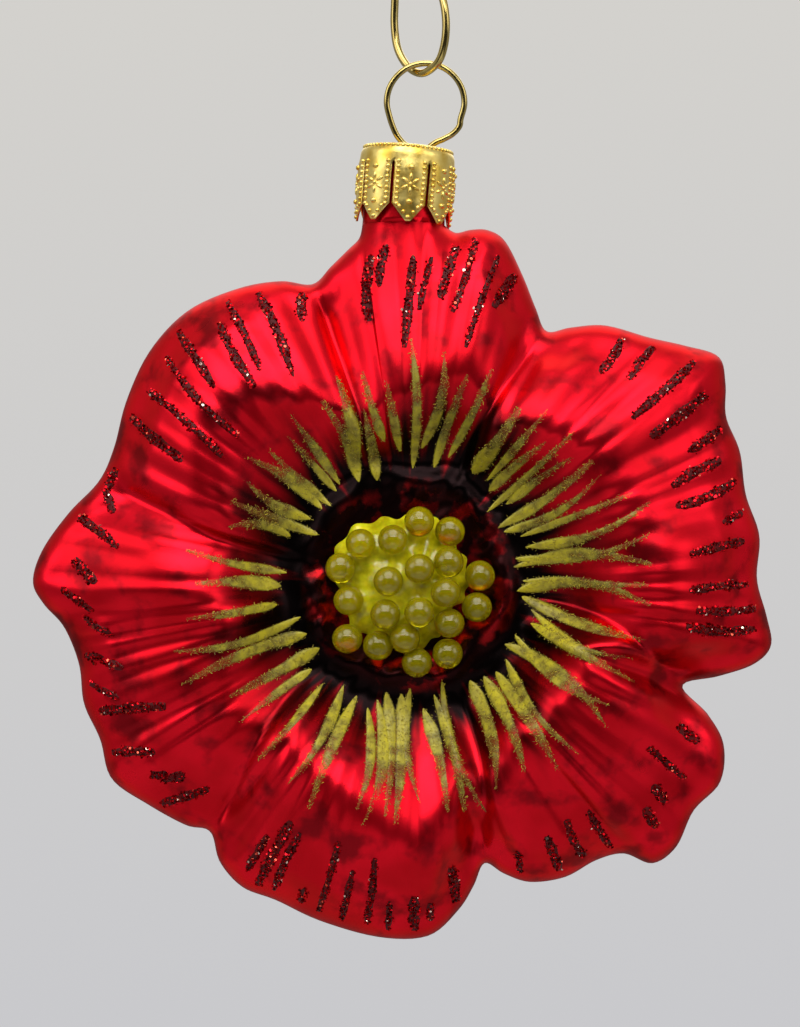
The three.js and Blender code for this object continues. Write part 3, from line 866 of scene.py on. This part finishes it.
def place_on_neck(vectors, is_point=True):
    """From the cap's own upright frame to the flower's."""
    c, s = math.cos(CAP_TURN), math.sin(CAP_TURN)
    turn = np.array([[c, -s, 0], [s, c, 0], [0, 0, 1]])
    c, s = math.cos(CAP_LEAN), math.sin(CAP_LEAN)
    lean = np.array([[c, 0, s], [0, 1, 0], [-s, 0, c]])
    moved = np.asarray(vectors) @ (lean @ turn).T
    return moved + CAP_TOP if is_point else moved


def tab_half_angle(drop):
    """Half of a tab's width, as an angle, at a distance down from the cap's top."""
    slot = SLOT_WIDTH / 2 / CAP_RADIUS * smooth(SLOT_TOP, SLOT_TOP + 0.25, drop)
    taper = np.clip((drop - (CAP_HEIGHT - TAB_POINT)) / TAB_POINT, 0, 1)
    return (TAB_PITCH / 2 - slot) * (1 - 0.86 * taper)


def build_cap():
    drops = np.concatenate([
        CAP_SHOULDER * (
            1 - np.cos(np.linspace(0, np.pi / 2, 9))
        )[:-1], np.linspace(CAP_SHOULDER, SLOT_TOP, 4)[:-1],
        np.linspace(SLOT_TOP, CAP_HEIGHT - TAB_POINT, 14)[:-1], np.linspace(
            CAP_HEIGHT - TAB_POINT, CAP_HEIGHT, 9,
        ),
    ])
    columns = 16
    vertices, faces, count = [], [], 0
    for tab in range(TABS):
        share = np.linspace(-1, 1, columns + 1)
        turn = tab * TAB_PITCH + tab_half_angle(drops)[:, None] * share
        points, _ = cap_point(turn, np.repeat(drops[:, None], columns + 1, 1))
        vertices.append(points.reshape(-1, 3))
        faces.append(grid_faces(len(drops) - 1, columns, count, True))
        count += points.shape[0] * points.shape[1]
        inner = (CAP_RADIUS - CAP_SHOULDER) * np.linspace(0, 1, 5)[:, None]
        spread = tab * TAB_PITCH + TAB_PITCH / 2 * share
        disc = np.stack([inner * np.cos(spread), inner * np.sin(spread), inner * 0 + 0 * spread], -1)
        vertices.append(disc.reshape(-1, 3))
        faces.append(grid_faces(4, columns, count, True))
        count += disc.shape[0] * disc.shape[1]
    obj = mesh_object(
        "stamped_crown_cap", to_world(place_on_neck(np.vstack(vertices))), np.vstack(faces), merge=2e-6,
    )
    wall = obj.modifiers.new("sheet", "SOLIDIFY")
    wall.thickness = 0.25 * MM
    wall.offset = -1
    mesh = bpy.data.meshes.new_from_object(obj.evaluated_get(bpy.context.evaluated_depsgraph_get()))
    obj.modifiers.remove(wall)
    obj.data = mesh
    return obj


def cap_stud_points():
    """Where each raised dot stands, its normal, and how long and wide it is."""
    studs = []
    for tab in range(TABS):
        middle = tab * TAB_PITCH
        for drop in np.arange(2.6, CAP_HEIGHT - TAB_POINT + 0.1, 0.72):
            for side in (-1, 1):
                studs.append((middle + side * (tab_half_angle(drop) - 0.085), drop, 0.62, 0.62, 0))
        for step in (0.25, 0.55, 0.85):
            drop = CAP_HEIGHT - TAB_POINT + TAB_POINT * step
            for side in (-1, 1):
                studs.append(
                    (middle + side * max(0.0, tab_half_angle(drop) - 0.085), drop - 0.2, 0.6, 0.6, 0),
                )
        for petal in range(6):
            turn = petal * math.pi / 3 + math.pi / 6
            studs.append((
                middle + 0.85 * math.cos(turn) / CAP_RADIUS, 5.6 + 0.95 * math.sin(turn), 1.15, 0.5, turn,
            ))
        studs.append((middle, 5.6, 0.55, 0.55, 0))
        studs.append((middle, 3.35, 0.95, 0.75, 0))
        studs.append((middle, 8.0, 0.95, 0.75, 0))
    for i in range(56):
        studs.append((i * 2 * math.pi / 56, 0.4, 0.62, 0.62, 0))
    return studs


def stud_tree():
    """A tree that stands a low dome on each point, turned and sized by the point's own values."""
    tree = bpy.data.node_groups.new("raise_studs", "GeometryNodeTree")
    tree.interface.new_socket("Geometry", in_out="INPUT", socket_type="NodeSocketGeometry")
    tree.interface.new_socket(
        "Dome height", in_out="INPUT", socket_type="NodeSocketFloat",
    ).default_value = 0.45
    tree.interface.new_socket("Stud material", in_out="INPUT", socket_type="NodeSocketMaterial")
    tree.interface.new_socket("Geometry", in_out="OUTPUT", socket_type="NodeSocketGeometry")
    given = add_node(tree, "NodeGroupInput").outputs
    points = add_node(tree, "GeometryNodeMeshToPoints", {"Mesh": given["Geometry"]})
    ball = add_node(tree, "GeometryNodeMeshUVSphere", {"Segments": 10, "Rings": 6, "Radius": 0.5})
    outward = add_node(tree, "GeometryNodeInputNamedAttribute", {"Name": "outward"}, data_type="FLOAT_VECTOR")
    ahead = add_node(tree, "GeometryNodeInputNamedAttribute", {"Name": "ahead"}, data_type="FLOAT_VECTOR")
    size = add_node(tree, "GeometryNodeInputNamedAttribute", {"Name": "size"}, data_type="FLOAT_VECTOR")
    up = add_node(
        tree, "FunctionNodeAxesToRotation",
        {"Primary Axis": outward.outputs[0], "Secondary Axis": ahead.outputs[0]},
    )
    split = add_node(tree, "ShaderNodeSeparateXYZ", {0: size.outputs[0]}).outputs
    scale = add_node(
        tree, "ShaderNodeCombineXYZ",
        {0: split[0], 1: split[1], 2: math_node(tree, "MULTIPLY", split[1], given["Dome height"])},
    )
    copies = add_node(
        tree, "GeometryNodeInstanceOnPoints",
        {
            "Points": points.outputs[0], "Instance": ball.outputs[0], "Rotation": up.outputs[0],
            "Scale": scale.outputs[0],
        },
    )
    real = add_node(tree, "GeometryNodeRealizeInstances", {0: copies.outputs[0]})
    smoothed = add_node(tree, "GeometryNodeSetShadeSmooth", {"Geometry": real.outputs[0]})
    finished = add_node(
        tree, "GeometryNodeSetMaterial",
        {"Geometry": smoothed.outputs[0], "Material": given["Stud material"]},
    )
    add_node(tree, "NodeGroupOutput", {"Geometry": finished.outputs[0]})
    return tree


def cap_metal():
    """Brass-plated tin, stamped bright. A warm tone that varies in soft clouds."""
    material, tree, shader = new_material("stamped_gold_plated_tin")
    point = object_point(tree)
    cloud = noise(tree, point, 2.2, 3)
    tree.links.new(
        mixed(tree, ranged(tree, cloud, 0.35, 0.7, 0, 1, True), srgb("#F8DF84"), srgb("#E2BC4E")),
        shader.inputs["Base Color"],
    )
    shader.inputs["Metallic"].default_value = 1
    tree.links.new(ranged(tree, noise(tree, point, 0.8, 2), 0.3, 0.7, 0.28, 0.4), shader.inputs["Roughness"])
    bump = add_node(
        tree, "ShaderNodeBump",
        {"Height": noise(tree, point, 0.5, 3), "Strength": 0.25, "Distance": 0.08 * MM},
    )
    tree.links.new(bump.outputs[0], shader.inputs["Normal"])
    return material


def build_studs(material):
    rows = cap_stud_points()
    turn, drop = np.array([r[0] for r in rows]), np.array([r[1] for r in rows])
    points, normals = cap_point(turn, drop, -0.02)
    ahead = []
    for (at, down, _, _, twist) in rows:
        round_it = np.array([-math.sin(at), math.cos(at), 0])
        ahead.append(round_it * math.cos(twist) + np.array([0, 0, -1]) * math.sin(twist))
    base = mesh_object("stud_places", to_world(place_on_neck(points)), [])
    for label, values in (
        ("outward", place_on_neck(normals, False)),
        ("ahead", place_on_neck(np.array(ahead), False)),
        ("size", np.array([[r[2], r[3], 1] for r in rows]) * MM),
    ):
        attribute = base.data.attributes.new(label, "FLOAT_VECTOR", "POINT")
        attribute.data.foreach_set("vector", np.asarray(values, float).ravel())
    studs = grown("cap_embossing", base, stud_tree(), {"Dome height": 0.95, "Stud material": material})
    bpy.data.objects.remove(base)
    return studs


gold = cap_metal()
cap = build_cap()
cap.data.materials.clear()
cap.data.materials.append(gold)
embossing = build_studs(gold)
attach(cap, "root")
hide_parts("crown_cap")
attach(embossing, "root")

# ---------------------------------------------------------------- hanger and hook
# Two pieces of bright gold-coloured wire, bent by machine. The hanger's legs spring open inside the
# neck, and its ring rides on the hook's lower eye.

HANGER_WIRE, RING_X, RING_Z, WIRE_RING_RADIUS = 0.85, 2.12, 65.7, 5.28
HOOK_WIRE, HOOK_X, HOOK_Z, HOOK_TURN = 1.1, 1.75, 69.65, math.radians(42)
BEND_RADIUS, BEND_HEIGHT = 6.4, 31


def hanger_route():
    points = [
        [-3.5, 44], [-3.4, 49], [-2.4, 54], [-0.7, 57.7], [-0.25, 59.4], [-1.1, 60.3], [-2, 61.6],
    ]
    for i in range(11):
        points.append(polar_point(202 - 22.7 * i, WIRE_RING_RADIUS) + [RING_X, RING_Z])
    points += [
        [6.7, 62.4], [5.75, 61.35], [4.5, 60.65], [3.4, 60.15], [2.4, 59.25],
        [2, 57.6], [2.3, 54], [2.8, 49], [3, 44],
    ]
    return np.array([[x, 0, z] for x, z in points])


def hook_route():
    points = [
        [-3, 15.7], [-0.2, 14.9], [2.3, 12.6], [3.7, 9.4], [4.2, 6.2], [3.8, 3.2], [2.6, 1.1], [0, 0],
        [-2.5, 1], [-4.5, 3.6], [-5.2, 7], [-5.1, 11], [-5, 16], [-5.6, 22], [-6.3, 27],
    ]
    for i in range(9):
        points.append(polar_point(180 - 22.5 * i, BEND_RADIUS) + [0, BEND_HEIGHT])
    points += [[6.6, 27.4], [7.4, 24.6], [8.8, 22.9]]
    c, s = math.cos(HOOK_TURN), math.sin(HOOK_TURN)
    return np.array([[HOOK_X + x * c, -x * s, HOOK_Z + z] for x, z in points])


def wire_object(name, route, diameter):
    """A round wire along a route, with rounded ends."""
    line = catmull_rom(route, 10)
    start, end = line[0] - line[1], line[-1] - line[-2]
    start, end = start / np.linalg.norm(start), end / np.linalg.norm(end)
    radius = diameter / 2
    turns = np.radians([90, 60, 30])
    head = [line[0] + start * radius * math.sin(t) for t in turns]
    tail = [line[-1] + end * radius * math.sin(t) for t in turns[::-1]]
    line = np.vstack([head, line, tail])
    girth = np.concatenate(
        [np.maximum(np.cos(turns), 0.02), np.ones(len(line) - 6), np.maximum(np.cos(turns[::-1]), 0.02)],
    )
    curve = bpy.data.curves.new(name, "CURVE")
    curve.dimensions = "3D"
    curve.bevel_depth = radius * MM
    curve.bevel_resolution = 6
    curve.use_fill_caps = True
    curve.twist_mode = "MINIMUM"
    spline = curve.splines.new("POLY")
    spline.points.add(len(line) - 1)
    for point, place, thick in zip(spline.points, to_world(line), girth):
        point.co = (*place, 1)
        point.radius = thick
    shaper = bpy.data.objects.new(name + "_shaper", curve)
    bpy.context.scene.collection.objects.link(shaper)
    mesh = bpy.data.meshes.new_from_object(shaper.evaluated_get(bpy.context.evaluated_depsgraph_get()))
    bpy.data.objects.remove(shaper)
    mesh.name = name
    mesh.shade_smooth()
    obj = bpy.data.objects.new(name, mesh)
    bpy.context.scene.collection.objects.link(obj)
    return obj


def wire_metal():
    """Brass-plated steel wire, drawn bright: pale gold, with faint marks along it from the die."""
    material, tree, shader = new_material("brass_plated_drawn_wire")
    point = object_point(tree)
    cloud = noise(tree, point, 3, 2)
    tree.links.new(mixed(tree, cloud, srgb("#CDBC78"), srgb("#A48A48")), shader.inputs["Base Color"])
    shader.inputs["Metallic"].default_value = 1
    marks = noise(tree, point, 0.4, 2, stretch=(1, 1, 0.25))
    tree.links.new(ranged(tree, marks, 0.3, 0.7, 0.1, 0.22), shader.inputs["Roughness"])
    bump = add_node(tree, "ShaderNodeBump", {"Height": marks, "Strength": 0.1, "Distance": 0.03 * MM})
    tree.links.new(bump.outputs[0], shader.inputs["Normal"])
    return material


wire_finish = wire_metal()
for name, node, route, diameter in (
    ("cap_hanger_ring", "hanger_wire", hanger_route(), HANGER_WIRE),
    ("hanging_hook", "hook", hook_route(), HOOK_WIRE),
):
    wire = wire_object(name, route, diameter)
    wire.data.materials.clear()
    wire.data.materials.append(wire_finish)
    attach(wire, "root")
    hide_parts(node)

# ---------------------------------------------------------------- studio
# A pale floor well below the hanging ornament, an even pale surround, and soft light from above.


def build_floor():
    size, drop = 0.34, 0.3
    mesh = bpy.data.meshes.new("studio_floor")
    disc = bmesh.new()
    bmesh.ops.create_circle(disc, cap_ends=True, segments=96, radius=size)
    disc.to_mesh(mesh)
    disc.free()
    mesh.transform(Matrix.Translation((CENTRE[0] * MM, 0, -drop)))
    obj = bpy.data.objects.new("studio_floor", mesh)
    bpy.context.scene.collection.objects.link(obj)
    material, tree, shader = new_material("matt_pale_board")
    grain = noise(tree, object_point(tree), 4, 3)
    tree.links.new(mixed(tree, grain, srgb("#969697"), srgb("#9C9B9B")), shader.inputs["Base Color"])
    shader.inputs["Roughness"].default_value = 0.8
    mesh.materials.append(material)
    return obj


def build_world():
    """What the camera sees is an even pale grey. What lights the ornament is a studio: a broad
    ceiling light, paler side walls, and a dim room behind the camera."""
    world = bpy.data.worlds.new("studio")
    bpy.context.scene.world = world
    world.use_nodes = True
    tree = world.node_tree
    tree.nodes.clear()
    direction = add_node(tree, "ShaderNodeTexCoord").outputs["Generated"]
    split = add_node(tree, "ShaderNodeSeparateXYZ", {0: direction}).outputs

    def lamp(toward, narrow, wide, strength):
        spot = Vector(toward).normalized()
        aligned = add_node(
            tree, "ShaderNodeVectorMath", {0: direction, 1: tuple(spot)}, operation="DOT_PRODUCT",
        )
        return ranged(
            tree, aligned.outputs["Value"], math.cos(math.radians(wide)), math.cos(math.radians(narrow)), 0,
            strength, True,
        )

    light = ranged(tree, split[2], -0.5, 0.6, 0.3, 0.46, True)
    dim_room = lamp((0, -1, -0.05), 18, 66, 0.5)
    light = math_node(tree, "SUBTRACT", light, dim_room)
    light = math_node(tree, "MAXIMUM", light, 0.03)
    for toward, narrow, wide, strength in (
        ((0.0, -0.7, 1), 20, 32, 3.6),
        ((-1, -0.6, 0.5), 12, 24, 2.0),
        ((1, -0.7, 0.45), 10, 20, 1.8),
        ((0.1, 0.9, 0.8), 24, 40, 1.6),
        ((0.0, -0.8, -0.9), 18, 36, 0.9),
    ):
        light = math_node(tree, "ADD", light, lamp(toward, narrow, wide, strength))
    # A long low strip light over the camera.
    strip_band = math_node(
        tree, "MULTIPLY", ranged(
            tree, split[2], 0.40, 0.43, 0, 1, True,
        ), ranged(tree, split[2], 0.47, 0.5, 1, 0, True),
    )
    strip_span = lamp((0, -1, 0.48), 24, 34, 7)
    light = math_node(tree, "ADD", light, math_node(tree, "MULTIPLY", strip_band, strip_span))
    lit = add_node(tree, "ShaderNodeBackground", {"Color": srgb("#FFFDFA"), "Strength": light})
    shade = ranged(tree, split[2], -0.17, 0.17, 0, 1)
    seen = add_node(
        tree, "ShaderNodeBackground", {
            "Color": mixed(tree, shade, srgb("#C9C9CC"), srgb("#D3D1CD")), "Strength": 1.0,
        },
    )
    path = add_node(tree, "ShaderNodeLightPath")
    both = add_node(
        tree, "ShaderNodeMixShader",
        {0: path.outputs["Is Camera Ray"], 1: lit.outputs[0], 2: seen.outputs[0]},
    )
    add_node(tree, "ShaderNodeOutputWorld", {"Surface": both.outputs[0]})


def build_camera():
    """A level camera on the flower's face."""
    distance, lens, sensor = 400, 103, 36
    camera = bpy.data.cameras.new("camera")
    camera.sensor_fit = "VERTICAL"
    camera.sensor_height = sensor
    camera.lens = lens
    obj = bpy.data.objects.new("camera", camera)
    obj.location = to_world([-1.36, -distance, 9.7])
    obj.rotation_euler = (math.pi / 2, 0, 0)
    bpy.context.scene.collection.objects.link(obj)
    bpy.context.scene.camera = obj


# The lacquer's reds are shown as they are, without a film look over them.
bpy.context.scene.view_settings.view_transform = "Standard"

build_floor()
build_world()
build_camera()
